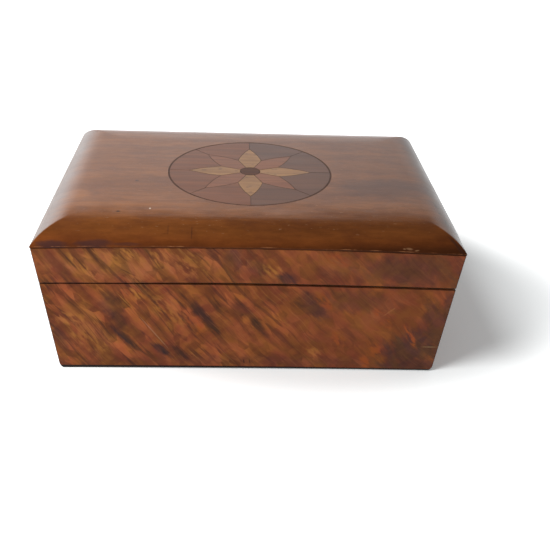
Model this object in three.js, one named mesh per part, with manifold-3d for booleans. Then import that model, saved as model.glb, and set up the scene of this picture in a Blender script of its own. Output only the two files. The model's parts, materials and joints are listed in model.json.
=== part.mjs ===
// A wooden work box: splayed, veneered sides, a lid with a cushion moulding worked round its
// top board, a round rosette inlay, and two butt hinges let into the back edges.
// Millimetres, +Z up. The origin is the middle of the base, and the front faces -Y.
import * as THREE from 'three';
import { mergeVertices, toCreasedNormals } from 'three/addons/utils/BufferGeometryUtils.js';
import Module from 'manifold-3d';

const wasm = await Module();
wasm.setup();

// Outside of the box. Width and depth are taken over the lid's edge, where it is widest.
const edgeWidth = 305;
const edgeDepth = 221;
const splayDegrees = 5;
const bodyHeight = 77.7;
const railHeight = 29;
const lidGap = 0.4;

// Boards and the veneer glued to them, measured square to their faces.
const boardThickness = 10;
const veneerThickness = 1.2;
const veneerLift = 0.4;
const glueLine = 0.1;

// Bottom board, let into a rebate round the lower inside edge of the walls.
const bottomThickness = 7;
const rebateWidth = 5;
const bottomClearance = 0.15;

// Top board of the lid: a thin square edge, then a rounded cushion up to the flat.
const topOverhang = 0.3;
const topEdge = 1.5;
const cushionRise = 12.8;
const cushionInset = 25;
const cushionSteps = 16;

// Inlay let into the flat of the lid: a rosette of petals round a small disc, on a ground cut
// into one segment for each petal, inside a ring of dark stringing.
const inlayRadius = 65.5;
const inlayThickness = 1.2;
const inlayClearance = 0.15;
const beddingGap = 0.05;
const stringingWidth = 1.0;
const discRadius = 8;
const petalShoulder = 25;
const petalLength = 49;
const petalFullness = 7;
const petalCount = 8;
const petalSteps = 8;

// Butt hinges.
const hingeLength = 38;
const hingeEndInset = 42;
const leafThickness = 1.3;
const leafMargin = 1.6;
const barrelRadius = 2.6;
const knuckleCount = 5;
const knuckleGap = 0.2;
const pinRadius = 1.0;
const pinClearance = 0.06;
const pinProud = 0.5;
const pinSetIn = 2.2;
const leafClearance = 0.15;
const barrelClearance = 0.3;
const barrelSides = 20;

// Stop bevels along both back edges: they meet face to face when the lid stands open.
const bevelDegrees = 50;

// Countersunk wood screws.
const screwLength = 10;
const screwRadius = 1.1;
const screwHeadRadius = 2.0;
const screwSink = 0.1;
const screwClearance = 0.15;
const screwSlotWidth = 0.5;
const screwSlotDepth = 0.4;
const screwsPerLeaf = 3;
const screwPitch = 12.5;
const screwSides = 16;
const slotTurn = 0.7;

// Levels and level thicknesses that follow from the values above.
const splay = THREE.MathUtils.degToRad(splayDegrees);
const bevel = THREE.MathUtils.degToRad(bevelDegrees);
const lidSeat = bodyHeight + lidGap;
const railTop = lidSeat + railHeight;
const lidTop = railTop + topEdge + cushionRise;
const veneerBack = veneerThickness / Math.cos(splay);
const boardFace = (veneerThickness + glueLine) / Math.cos(splay);
const boardBack = boardFace + boardThickness / Math.cos(splay);
const pinHeight = bodyHeight + lidGap / 2;
const pinDepth = outline(pinHeight, 0).y - pinSetIn;
const barrelEdge = barrelRadius + leafClearance;
const leafReach = boardBack - pinSetIn - leafMargin;
const screwLine = (barrelEdge + leafReach) / 2;
const ringSides = petalCount * petalSteps;
const overcut = 1;

// Half width and half depth of the walls at a height, drawn in from the outer face by an inset.
function outline(z, inset) {
  const drawnIn = (railTop - z) * Math.tan(splay) + topOverhang + inset;
  return { x: edgeWidth / 2 - drawnIn, y: edgeDepth / 2 - drawnIn };
}

// The four corners of a level rectangle, anticlockwise from front left.
function rectangle(x, y, z) {
  return [[-x, -y, z], [x, -y, z], [x, y, z], [-x, y, z]];
}

// A closed solid through level rings of points, lowest first, each anticlockwise from above.
function loft(rings) {
  const count = rings[0].length;
  const lastRing = (rings.length - 1) * count;
  const faces = [];
  for (let start = 0; start < lastRing; start += count) {
    for (let i = 0; i < count; i += 1) {
      const a = start + i;
      const b = start + (i + 1) % count;
      faces.push(a, b, b + count, a, b + count, a + count);
    }
  }
  for (let i = 1; i + 1 < count; i += 1) {
    faces.push(0, i + 1, i);
    faces.push(lastRing, lastRing + i, lastRing + i + 1);
  }
  const geometry = new THREE.BufferGeometry();
  geometry.setAttribute('position', new THREE.Float32BufferAttribute(rings.flat(2), 3));
  geometry.setIndex(faces);
  return geometry;
}

// Closed geometry as a solid for cutting and joining.
function solid(geometry) {
  const bare = geometry.clone();
  bare.deleteAttribute('normal');
  bare.deleteAttribute('uv');
  const merged = mergeVertices(bare, 1e-4);
  const index = merged.index.array;
  const triVerts = [];
  for (let i = 0; i < index.length; i += 3) {
    const [a, b, c] = index.slice(i, i + 3);
    if (a !== b && b !== c && c !== a) triVerts.push(a, b, c);
  }
  return new wasm.Manifold(new wasm.Mesh({
    numProp: 3,
    vertProperties: merged.attributes.position.array,
    triVerts: Uint32Array.from(triVerts),
  }));
}

function geometryOf(shape) {
  const mesh = shape.getMesh();
  const geometry = new THREE.BufferGeometry();
  geometry.setAttribute('position', new THREE.BufferAttribute(mesh.vertProperties, 3));
  geometry.setIndex(new THREE.BufferAttribute(mesh.triVerts, 1));
  return geometry;
}

function cutFrom(shape, cutters) {
  return cutters.reduce((rest, cutter) => rest.subtract(cutter), shape);
}

// A box between two opposite corners.
function block(low, high) {
  const size = high.map((value, i) => value - low[i]);
  const geometry = new THREE.BoxGeometry(...size);
  return geometry.translate(...low.map((value, i) => value + size[i] / 2));
}

// A flat outline in Y and Z, drawn out along X from x0 to x1.
function extrudeAlongX(shape, x0, x1) {
  const geometry = new THREE.ExtrudeGeometry(shape, { depth: x1 - x0, bevelEnabled: false });
  const acrossToX = new THREE.Matrix4().makeBasis(
    new THREE.Vector3(0, 1, 0),
    new THREE.Vector3(0, 0, 1),
    new THREE.Vector3(1, 0, 0),
  );
  return geometry.applyMatrix4(acrossToX).translate(x0, 0, 0);
}

// A flat outline in X and Y, drawn up from z0 to z1.
function extrudeUp(shape, z0, z1) {
  const geometry = new THREE.ExtrudeGeometry(shape, { depth: z1 - z0, bevelEnabled: false });
  return geometry.translate(0, 0, z0);
}

function polar(radius, turn) {
  return new THREE.Vector2(radius * Math.cos(turn), radius * Math.sin(turn));
}

function circlePoints(radius, sides) {
  return Array.from({ length: sides }, (unused, i) => polar(radius, (2 * Math.PI * i) / sides));
}

// Materials.
function finish(color, roughness, metalness = 0) {
  return { color, roughness, metalness };
}
const finishes = {
  figuredVeneer: finish(0x8f5a31, 0.42),
  sideVeneer: finish(0x7d4b2a, 0.45),
  carcass: finish(0xa98256, 0.7),
  topBoard: finish(0x7b4f31, 0.36),
  paleWood: finish(0xcbb184, 0.4),
  roseWood: finish(0xb08363, 0.42),
  brownGround: finish(0x86603f, 0.4),
  greyGround: finish(0x5f5148, 0.42),
  stringing: finish(0x2a211c, 0.5),
  brass: finish(0xa98645, 0.38, 0.9),
  steel: finish(0x77736c, 0.45, 0.9),
};

function piece(name, geometry, look) {
  const bare = geometry.clone();
  bare.deleteAttribute('normal');
  bare.deleteAttribute('uv');
  const creased = toCreasedNormals(bare, THREE.MathUtils.degToRad(30));
  const mesh = new THREE.Mesh(creased, new THREE.MeshStandardMaterial(look));
  mesh.name = name;
  return mesh;
}

const box = new THREE.Group();
const body = new THREE.Group();
const lid = new THREE.Group();
box.add(body, lid);

// Walls: a mitred length of board or veneer on one side, from its outer to its inner inset.
const sideNames = ['front', 'right', 'back', 'left'];

function wall(side, z0, z1, outerInset, innerInset) {
  const rings = [z0, z1].map((z) => {
    const outer = outline(z, outerInset);
    const inner = outline(z, innerInset);
    const outerCorners = rectangle(outer.x, outer.y, z);
    const innerCorners = rectangle(inner.x, inner.y, z);
    const next = (side + 1) % sideNames.length;
    const ring = [outerCorners[side], outerCorners[next], innerCorners[next], innerCorners[side]];
    return openMitres(ring, side);
  });
  return loft(rings);
}

// Draws both ends of a wall back along its length by half a glue line.
function openMitres(ring, side) {
  const along = side % 2;
  const direction = side < 2 ? 1 : -1;
  const shift = (direction * glueLine) / 2;
  return ring.map((point, i) => {
    const moved = [...point];
    moved[along] += i === 0 || i === 3 ? shift : -shift;
    return moved;
  });
}

// The V of both stop bevels as one cutter, with its point on the pin axis.
function bevelCutter() {
  const reach = pinSetIn + barrelRadius;
  const rise = reach * Math.tan(bevel);
  const groove = new THREE.Shape([
    new THREE.Vector2(pinDepth, pinHeight),
    new THREE.Vector2(pinDepth + reach, pinHeight - rise),
    new THREE.Vector2(pinDepth + reach, pinHeight + rise),
  ]);
  return solid(extrudeAlongX(groove, -edgeWidth / 2, edgeWidth / 2));
}

// Each hinge keeps its distance from the end of the box.
function hingeCentres() {
  const centre = outline(pinHeight, 0).x - hingeEndInset - hingeLength / 2;
  return [-centre, centre];
}

function barrelCutter(centre) {
  const half = hingeLength / 2 + pinProud + barrelClearance;
  const shape = new THREE.Shape(circlePoints(barrelRadius + barrelClearance, barrelSides));
  const cutter = extrudeAlongX(shape, -half, half);
  return solid(cutter.translate(centre, pinDepth, pinHeight));
}

// The bed for a leaf and the pilot holes under it. Upward is +1 in the lid and -1 in the body.
function leafCutters(centre, upward) {
  const half = hingeLength / 2 + leafClearance;
  const edge = upward > 0 ? lidSeat : bodyHeight;
  const floor = edge + upward * (leafThickness + beddingGap);
  const mouth = edge - upward * overcut;
  const reach = leafReach + leafClearance;
  const bed = block(
    [centre - half, pinDepth - reach, Math.min(floor, mouth)],
    [centre + half, pinDepth, Math.max(floor, mouth)],
  );
  const holeEnd = edge + upward * (screwLength + screwClearance);
  const hole = new THREE.Shape(circlePoints(screwRadius + screwClearance, screwSides));
  const holes = screwPlaces().map((x) => {
    const drilled = extrudeUp(hole, Math.min(edge, holeEnd), Math.max(edge, holeEnd));
    return solid(drilled.translate(centre + x, pinDepth - screwLine, 0));
  });
  return [solid(bed), ...holes];
}

function screwPlaces() {
  const middle = (screwsPerLeaf - 1) / 2;
  return Array.from({ length: screwsPerLeaf }, (unused, i) => (i - middle) * screwPitch);
}

// The recess round the bottom board, as one block under the walls.
function rebateCutter() {
  const inner = outline(bottomThickness, boardBack);
  const x = inner.x + rebateWidth;
  const y = inner.y + rebateWidth;
  return solid(block([-x, -y, -overcut], [x, y, bottomThickness]));
}

// The body's four walls and the lid's, with what each is named and how high it reaches. The
// body's veneers stop a little above the table.
const bodyWalls = {
  prefix: 'body', board: 'board', boardFoot: 0, veneerFoot: veneerLift, top: bodyHeight, upward: -1,
};
const lidWalls = {
  prefix: 'lid', board: 'rail', boardFoot: lidSeat, veneerFoot: lidSeat, top: railTop, upward: 1,
};

// The front keeps its square edges. The stop bevel runs off through the sides, and the back
// also holds the barrels and leaves.
function addWalls(group, walls, footCuts) {
  const barrels = hingeCentres().map(barrelCutter);
  const beds = hingeCentres().flatMap((centre) => leafCutters(centre, walls.upward));
  sideNames.forEach((sideName, side) => {
    const atFront = sideName === 'front';
    const atBack = sideName === 'back';
    const veneerCuts = atFront ? [] : [bevelCutter()];
    if (atBack) veneerCuts.push(...barrels);
    const boardCuts = [...veneerCuts, ...footCuts];
    if (atBack) boardCuts.push(...beds);
    const board = solid(wall(side, walls.boardFoot, walls.top, boardFace, boardBack));
    const veneer = solid(wall(side, walls.veneerFoot, walls.top, 0, veneerBack));
    const boardShape = geometryOf(cutFrom(board, boardCuts));
    const veneerShape = geometryOf(cutFrom(veneer, veneerCuts));
    const veneerLook = atFront ? finishes.figuredVeneer : finishes.sideVeneer;
    const name = `${walls.prefix}_${sideName}`;
    group.add(piece(`${name}_${walls.board}`, boardShape, finishes.carcass));
    group.add(piece(`${name}_veneer`, veneerShape, veneerLook));
  });
}

function bottomBoard() {
  const inner = outline(bottomThickness, boardBack);
  const x = inner.x + rebateWidth - bottomClearance;
  const y = inner.y + rebateWidth - bottomClearance;
  return block([-x, -y, 0], [x, y, bottomThickness]);
}

// Top board: level rectangles up the cushion's arc, so the four mouldings meet in mitre ridges.
// The arc is level where it meets the flat, and meets the square edge at twice its chord's slope.
function topBoard() {
  const x = edgeWidth / 2;
  const y = edgeDepth / 2;
  const steepest = 2 * Math.atan2(cushionRise, cushionInset);
  const radius = cushionInset / Math.sin(steepest);
  const rings = [rectangle(x, y, railTop)];
  for (let i = 0; i <= cushionSteps; i += 1) {
    const turn = steepest * (1 - i / cushionSteps);
    const inset = cushionInset - radius * Math.sin(turn);
    const z = lidTop - radius * (1 - Math.cos(turn));
    rings.push(rectangle(x - inset, y - inset, z));
  }
  const recess = new THREE.Shape(circlePoints(inlayRadius + inlayClearance, ringSides));
  const recessFloor = lidTop - inlayThickness - beddingGap;
  const cutter = solid(extrudeUp(recess, recessFloor, lidTop + overcut));
  return geometryOf(solid(loft(rings)).subtract(cutter));
}

// Inlay pieces. Neighbours share the corners of their outlines.
function inlayPiece(name, points, look, hole) {
  const shape = new THREE.Shape(points);
  if (hole) shape.holes.push(new THREE.Path(hole));
  return piece(name, extrudeUp(shape, lidTop - inlayThickness, lidTop), look);
}

function arc(radius, turn0, turn1) {
  return Array.from({ length: petalSteps + 1 }, (unused, i) => (
    polar(radius, turn0 + ((turn1 - turn0) * i) / petalSteps)
  ));
}

// One edge of a petal, from its shoulder to its tip. The control point stands off the tip's
// line by the fullness.
function petalEdge(shoulderTurn, tipTurn) {
  const sideways = Math.sign(shoulderTurn - tipTurn) * (Math.PI / 2);
  const tip = polar(petalLength, tipTurn);
  const middle = polar((petalShoulder + petalLength) / 2, tipTurn);
  const control = middle.add(polar(petalFullness, tipTurn + sideways));
  const curve = new THREE.QuadraticBezierCurve(polar(petalShoulder, shoulderTurn), control, tip);
  return curve.getPoints(petalSteps);
}

function addInlay(group) {
  const ringInside = inlayRadius - stringingWidth;
  const outer = circlePoints(inlayRadius, ringSides);
  const inner = circlePoints(ringInside, ringSides);
  const disc = circlePoints(discRadius, ringSides);
  group.add(inlayPiece('inlay_ring', outer, finishes.stringing, inner));
  group.add(inlayPiece('inlay_disc', disc, finishes.stringing));
  const step = (2 * Math.PI) / petalCount;
  for (let i = 0; i < petalCount; i += 1) {
    const tip = i * step;
    const shoulder = tip + step / 2;
    const nextTip = tip + step;
    const lowerEdge = petalEdge(tip - step / 2, tip);
    const upperEdge = petalEdge(shoulder, tip);
    const nextEdge = petalEdge(shoulder, nextTip);
    const petal = [
      ...arc(discRadius, shoulder, tip - step / 2),
      ...lowerEdge,
      ...upperEdge.slice(0, -1).reverse(),
    ];
    const ground = [
      ...upperEdge,
      ...arc(ringInside, tip, nextTip),
      ...nextEdge.slice(1).reverse(),
    ];
    const petalLook = i % 2 === 0 ? finishes.paleWood : finishes.roseWood;
    const onRight = Math.cos(shoulder) > 0;
    const groundLook = onRight ? finishes.greyGround : finishes.brownGround;
    group.add(inlayPiece(`inlay_petal_${i + 1}`, petal, petalLook));
    group.add(inlayPiece(`inlay_ground_${i + 1}`, ground, groundLook));
  }
}

// Hinge leaf for the body, with its pin axis along X at the origin and its plate towards -Y.
function hingeLeaf(firstKnuckle) {
  const half = hingeLength / 2;
  const top = -lidGap / 2;
  const pitch = hingeLength / knuckleCount;
  const bore = pinRadius + pinClearance;
  const wallMiddle = (bore + barrelRadius) / 2;
  const plate = block([-half, -leafReach, top - leafThickness], [half, -barrelEdge, top]);
  const section = new THREE.Shape(circlePoints(barrelRadius, barrelSides));
  section.holes.push(new THREE.Path(circlePoints(bore, barrelSides)));
  let leaf = solid(plate);
  for (let i = firstKnuckle; i < knuckleCount; i += 2) {
    const x0 = -half + i * pitch + (i === 0 ? 0 : knuckleGap / 2);
    const x1 = -half + (i + 1) * pitch - (i === knuckleCount - 1 ? 0 : knuckleGap / 2);
    const web = block([x0, -leafReach, top - leafThickness], [x1, -wallMiddle, top]);
    leaf = leaf.add(solid(web)).add(solid(extrudeAlongX(section, x0, x1)));
  }
  const sinks = screwPlaces().map((x) => {
    const sink = screwProfile(screwClearance, overcut);
    return solid(sink.translate(x, -screwLine, top - screwSink));
  });
  return geometryOf(cutFrom(leaf, sinks));
}

// A screw's turned shape, point down, with its head's face at the origin. The growth widens it
// all round, and the extension carries the head's rim up, as the hole for it needs.
function screwProfile(growth, extension) {
  const headRadius = screwHeadRadius + growth;
  const shankRadius = screwRadius + growth;
  const headDepth = headRadius - shankRadius;
  const profile = [
    new THREE.Vector2(0, -screwLength),
    new THREE.Vector2(shankRadius, -screwLength + 2 * shankRadius),
    new THREE.Vector2(shankRadius, -headDepth),
    new THREE.Vector2(headRadius, 0),
  ];
  if (extension > 0) profile.push(new THREE.Vector2(headRadius, extension));
  profile.push(new THREE.Vector2(0, extension));
  return new THREE.LatheGeometry(profile, screwSides).rotateX(Math.PI / 2);
}

function screwGeometry() {
  const slot = block(
    [-screwHeadRadius - overcut, -screwSlotWidth / 2, -screwSlotDepth],
    [screwHeadRadius + overcut, screwSlotWidth / 2, overcut],
  );
  return geometryOf(solid(screwProfile(0, 0)).subtract(solid(slot)));
}

function pinGeometry() {
  const half = hingeLength / 2;
  const profile = [
    new THREE.Vector2(0, -half - pinProud),
    new THREE.Vector2(pinRadius * 0.7, -half - pinProud * 0.8),
    new THREE.Vector2(pinRadius, -half),
    new THREE.Vector2(pinRadius, half),
    new THREE.Vector2(pinRadius * 0.7, half + pinProud * 0.8),
    new THREE.Vector2(0, half + pinProud),
  ];
  return new THREE.LatheGeometry(profile, screwSides).rotateZ(Math.PI / 2);
}

function addHinge(name, centre) {
  const hinge = new THREE.Group();
  hinge.position.set(centre, pinDepth, pinHeight);
  hinge.add(piece(`${name}_body_leaf`, hingeLeaf(0), finishes.brass));
  const lidLeaf = piece(`${name}_lid_leaf`, hingeLeaf(1), finishes.brass);
  lidLeaf.rotation.y = Math.PI;
  hinge.add(lidLeaf);
  hinge.add(piece(`${name}_pin`, pinGeometry(), finishes.steel));
  screwPlaces().forEach((x, i) => {
    const turn = i * slotTurn;
    const level = lidGap / 2 + screwSink;
    const bodyScrew = piece(`${name}_body_screw_${i + 1}`, screwGeometry(), finishes.brass);
    bodyScrew.position.set(x, -screwLine, -level);
    bodyScrew.rotation.z = turn;
    const lidScrew = piece(`${name}_lid_screw_${i + 1}`, screwGeometry(), finishes.brass);
    lidScrew.position.set(x, -screwLine, level);
    lidScrew.rotation.set(Math.PI, 0, turn);
    hinge.add(bodyScrew, lidScrew);
  });
  box.add(hinge);
}

addWalls(body, bodyWalls, [rebateCutter()]);
body.add(piece('bottom_board', bottomBoard(), finishes.carcass));
addWalls(lid, lidWalls, []);
lid.add(piece('lid_top_board', topBoard(), finishes.topBoard));
addInlay(lid);
['left_hinge', 'right_hinge'].forEach((name, i) => addHinge(name, hingeCentres()[i]));

export default box;
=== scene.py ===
import json
import math

import bmesh
import bpy
from mathutils import Matrix, Vector


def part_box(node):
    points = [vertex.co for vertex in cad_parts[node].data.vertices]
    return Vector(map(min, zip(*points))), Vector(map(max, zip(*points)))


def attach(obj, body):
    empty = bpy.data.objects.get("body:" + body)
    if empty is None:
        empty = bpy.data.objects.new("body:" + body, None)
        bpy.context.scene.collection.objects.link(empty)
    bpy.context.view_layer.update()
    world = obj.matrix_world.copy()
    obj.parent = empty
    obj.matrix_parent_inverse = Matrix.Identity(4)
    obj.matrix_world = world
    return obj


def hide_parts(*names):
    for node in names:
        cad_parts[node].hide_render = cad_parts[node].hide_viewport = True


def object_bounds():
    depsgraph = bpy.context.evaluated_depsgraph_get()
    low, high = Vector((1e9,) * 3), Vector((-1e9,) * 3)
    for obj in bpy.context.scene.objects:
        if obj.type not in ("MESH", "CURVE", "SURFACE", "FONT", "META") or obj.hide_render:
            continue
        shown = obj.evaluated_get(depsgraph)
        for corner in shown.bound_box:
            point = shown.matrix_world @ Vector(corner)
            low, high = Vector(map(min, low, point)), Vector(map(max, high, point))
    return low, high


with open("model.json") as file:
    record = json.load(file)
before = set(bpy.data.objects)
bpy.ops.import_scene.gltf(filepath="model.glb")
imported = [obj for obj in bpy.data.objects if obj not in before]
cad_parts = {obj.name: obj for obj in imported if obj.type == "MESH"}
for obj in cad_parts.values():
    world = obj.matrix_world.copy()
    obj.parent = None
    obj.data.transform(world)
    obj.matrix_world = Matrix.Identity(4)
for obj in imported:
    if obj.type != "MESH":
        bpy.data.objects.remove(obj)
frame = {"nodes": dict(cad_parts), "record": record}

cadLow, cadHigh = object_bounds()
nodes = frame["nodes"]
scene = bpy.context.scene
print("frame loaded:", len(nodes), "nodes")


# Camera: where the photograph was taken from, in the frame's metres and in degrees.
photoCamera = {
    "place": (-0.01154, -0.6016, 0.36986),
    "pitchDown": 29.756,
    "yaw": 3.353,
    "roll": 2.445,
    "focalInPixels": 800.25,
    "imageWidth": 550,
    "sensorWidth": 36.0,
    "nearestSeen": 0.01,
}


def makeCamera(values):
    pitch, yaw, roll = (math.radians(values[key]) for key in ("pitchDown", "yaw", "roll"))
    forward = Vector((
        math.sin(yaw) * math.cos(pitch),
        math.cos(yaw) * math.cos(pitch),
        -math.sin(pitch),
    ))
    level = Vector((math.cos(yaw), -math.sin(yaw), 0))
    upright = level.cross(forward)
    right = level * math.cos(roll) + upright * math.sin(roll)
    up = upright * math.cos(roll) - level * math.sin(roll)
    data = bpy.data.cameras.new("photoCamera")
    data.sensor_width = values["sensorWidth"]
    data.lens = values["focalInPixels"] / values["imageWidth"] * values["sensorWidth"]
    data.clip_start = values["nearestSeen"]
    camera = bpy.data.objects.new("photoCamera", data)
    camera.matrix_world = Matrix((
        (right.x, up.x, -forward.x, values["place"][0]),
        (right.y, up.y, -forward.y, values["place"][1]),
        (right.z, up.z, -forward.z, values["place"][2]),
        (0, 0, 0, 1),
    ))
    scene.collection.objects.link(camera)
    scene.camera = camera


makeCamera(photoCamera)
scene.view_settings.view_transform = "Standard"
print("camera placed")


# Levels that pieces and materials share, from the frame.
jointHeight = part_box("body_front_veneer")[1].z
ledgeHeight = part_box("lid_top_board")[0].z
toMillimetres = 1000.0


# Helpers for wiring shader nodes.
def feed(tree, value, socket):
    if isinstance(value, bpy.types.NodeSocket):
        tree.links.new(value, socket)
    else:
        socket.default_value = value


def addNode(tree, kind, inputs=None, **settings):
    node = tree.nodes.new("ShaderNode" + kind)
    for name, value in settings.items():
        setattr(node, name, value)
    for name, value in (inputs or {}).items():
        feed(tree, value, node.inputs[name])
    return node


def maths(tree, operation, first, second=0.0, third=0.0, clamp=False):
    inputs = {0: first, 1: second, 2: third}
    return addNode(tree, "Math", inputs, operation=operation, use_clamp=clamp).outputs[0]


def vectorMaths(tree, operation, first, second):
    node = addNode(tree, "VectorMath", {0: first, 1: second}, operation=operation)
    return node.outputs["Vector"]


def dotProduct(tree, first, second):
    node = addNode(tree, "VectorMath", {0: first, 1: second}, operation="DOT_PRODUCT")
    return node.outputs["Value"]


# 0 at low and 1 at high, eased between them; low may be the larger one.
def smoothMask(tree, value, low, high):
    inputs = {"Value": value, "From Min": low, "From Max": high}
    return addNode(tree, "MapRange", inputs, interpolation_type="SMOOTHSTEP").outputs[0]


# Low where the value is at start, and high where it is at end.
def spread(tree, value, low, high, start=0.0, end=1.0):
    inputs = {"Value": value, "From Min": start, "From Max": end, "To Min": low, "To Max": high}
    return addNode(tree, "MapRange", inputs).outputs[0]


def centred(tree, noise, reach):  # a noise about nought
    return maths(tree, "MULTIPLY", maths(tree, "SUBTRACT", noise, 0.5), reach)


def mixColour(tree, factor, first, second, blend="MIX"):
    node = addNode(tree, "Mix", data_type="RGBA", blend_type=blend)
    feed(tree, factor, node.inputs[0])
    feed(tree, first, node.inputs[6])
    feed(tree, second, node.inputs[7])
    return node.outputs[2]


def shaded(tree, colour, tone):
    return mixColour(tree, 1.0, colour, tone, "MULTIPLY")


def contrasted(tree, value, contrast):  # a tone about 1, to shade a colour with
    return spread(tree, value, 1 - contrast, 1 + contrast)


def paint(red, green, blue):  # a colour as it shows on screen, 0 to 255, as the shader wants it
    def linear(part):
        part /= 255
        return part / 12.92 if part <= 0.04045 else ((part + 0.055) / 1.055) ** 2.4
    return linear(red), linear(green), linear(blue), 1.0


def overlaid(tree, colour, mask, strength, shade):
    return mixColour(tree, maths(tree, "MULTIPLY", mask, strength), colour, paint(*shade))


def scaled(tree, place, x, y, z=1.0):
    return vectorMaths(tree, "MULTIPLY", place, (x, y, z))


def shifted(tree, place, seed):
    shift = addNode(tree, "CombineXYZ", {0: seed, 1: seed}).outputs[0]
    return vectorMaths(tree, "ADD", place, shift)


def turned(tree, place, angle):
    inputs = {"Vector": place, "Angle": angle}
    return addNode(tree, "VectorRotate", inputs, rotation_type="Z_AXIS").outputs[0]


def noiseOf(tree, place, detail, roughness=0.5):
    inputs = {"Vector": place, "Scale": 1.0, "Detail": detail, "Roughness": roughness}
    return addNode(tree, "TexNoise", inputs)


# A noise row: its turns per millimetre along and across, its detail and its roughness.
def noiseAt(tree, place, row):
    along, across, detail, roughness = row
    return noiseOf(tree, scaled(tree, place, along, across), detail, roughness).outputs[0]


def newGroup(name, inputs, outputs):
    tree = bpy.data.node_groups.new(name, "ShaderNodeTree")
    for socketName, kind, value in inputs:
        kindName = "NodeSocket" + kind
        socket = tree.interface.new_socket(socketName, in_out="INPUT", socket_type=kindName)
        if value is not None:
            socket.default_value = value
    for socketName, kind in outputs:
        kindName = "NodeSocket" + kind
        tree.interface.new_socket(socketName, in_out="OUTPUT", socket_type=kindName)
    given = tree.nodes.new("NodeGroupInput").outputs
    result = tree.nodes.new("NodeGroupOutput").inputs
    return tree, given, result


def useGroup(tree, group, inputs):
    node = tree.nodes.new("ShaderNodeGroup")
    node.node_tree = group
    for name, value in inputs.items():
        feed(tree, value, node.inputs[name])
    return node.outputs


# Place on a wall or a top in millimetres: the first axis runs along it, the second up or back.
def buildSurfacePlace():
    tree, given, result = newGroup(
        "surfacePlace",
        [("Along", "Vector", (1.0, 0.0, 0.0)), ("Across", "Vector", (0.0, 0.0, 1.0))],
        [("Place", "Vector")],
    )
    point = addNode(tree, "TexCoord").outputs["Object"]
    point = scaled(tree, point, toMillimetres, toMillimetres, toMillimetres)
    parts = [dotProduct(tree, point, given[name]) for name in ("Along", "Across")]
    joined = addNode(tree, "CombineXYZ", {0: parts[0], 1: parts[1]}).outputs[0]
    tree.links.new(joined, result["Place"])
    return tree


surfacePlace = buildSurfacePlace()

# Figured veneer: leaning bands and dark streaks, combed light lines, fine fibres, a mottle
# across them, facets and broad patches. Each layer is a noise, sized in millimetres along and
# across the streaks. "mask" keeps its higher values, "within" keeps it to some regions, and
# "swing" centres it on nought and scales it.
figureLayers = {
    "Bands": {"size": (70, 8.5), "detail": 3.0, "seed": 0.0, "mask": (0.42, 0.58)},
    "Streaks": {
        "size": (44, 4.6), "detail": 3.0, "seed": 7.0, "roughness": 0.6, "mask": (0.52, 0.62),
        "within": {"seed": 3.0, "mask": (0.36, 0.56)},
    },
    "Lines": {
        "size": (44, 1.5), "detail": 2.0, "seed": 11.0, "roughness": 0.6, "mask": (0.55, 0.68),
        "within": {"seed": 5.0, "mask": (0.42, 0.58)},
    },
    "Fibres": {"size": (14, 0.7), "detail": 2.0, "seed": 13.0},
    "Mottle": {"size": (6.5, 17), "detail": 3.0, "seed": 17.0, "mask": (0.4, 0.6)},
    "Patches": {"size": (34, 26), "detail": 2.0, "seed": 23.0, "mask": (0.36, 0.64)},
    "Sparks": {"size": (12, 4.0), "detail": 3.0, "seed": 29.0, "roughness": 0.55},
    "Hue": {"size": (18, 12), "detail": 2.0, "seed": 41.0, "mask": (0.38, 0.62)},
    "Rough": {"size": (13, 5), "detail": 4.0, "seed": 53.0, "roughness": 0.65, "swing": 1.5},
}
figureSettings = {
    "region": {"size": (48, 34), "detail": 1.0},
    "drift": (0.022, 0.022),
    "facetSize": (11.5, 5.0),
    "facetSmoothness": 0.12,
    "fibreHeight": 0.6,
}


def buildFiguredGrain(layers, settings):
    tree, given, result = newGroup(
        "figuredGrain",
        [("Place", "Vector", None), ("Lean", "Float", 0.95), ("Wander", "Float", 7.0)],
        [(name, "Float") for name in (*layers, "Facets", "Height")],
    )
    drift = noiseOf(tree, scaled(tree, given["Place"], *settings["drift"]), 1.0).outputs[1]
    drift = vectorMaths(tree, "SUBTRACT", drift, (0.5, 0.5, 0.5))
    wander = addNode(tree, "CombineXYZ", {0: given["Wander"], 1: given["Wander"]}).outputs[0]
    bent = vectorMaths(tree, "ADD", given["Place"], vectorMaths(tree, "MULTIPLY", drift, wander))
    leaning = turned(tree, bent, given["Lean"])

    def figure(layer):
        sized = vectorMaths(tree, "DIVIDE", leaning, (*layer["size"], 1.0))
        place = vectorMaths(tree, "ADD", sized, (0, 0, layer["seed"]))
        return noiseOf(tree, place, layer["detail"], layer.get("roughness", 0.5)).outputs[0]

    noises = {name: figure(layer) for name, layer in layers.items()}
    for name, layer in layers.items():
        value = noises[name]
        if "mask" in layer:
            value = smoothMask(tree, value, *layer["mask"])
        if "within" in layer:
            within = {**settings["region"], **layer["within"]}
            region = smoothMask(tree, figure(within), *within["mask"])
            value = maths(tree, "MULTIPLY", value, region)
        if "swing" in layer:
            value = centred(tree, value, layer["swing"])
        tree.links.new(value, result[name])
    sized = vectorMaths(tree, "DIVIDE", leaning, (*settings["facetSize"], 1.0))
    inputs = {"Vector": sized, "Scale": 1.0, "Smoothness": settings["facetSmoothness"]}
    cells = addNode(tree, "TexVoronoi", inputs, feature="SMOOTH_F1")
    shade = addNode(tree, "SeparateColor", {0: cells.outputs["Color"]}).outputs[0]
    tree.links.new(shade, result["Facets"])
    height = maths(
        tree, "MULTIPLY_ADD", noises["Fibres"], settings["fibreHeight"], noises["Bands"]
    )
    tree.links.new(height, result["Height"])
    return tree


figuredGrain = buildFiguredGrain(figureLayers, figureSettings)

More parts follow.
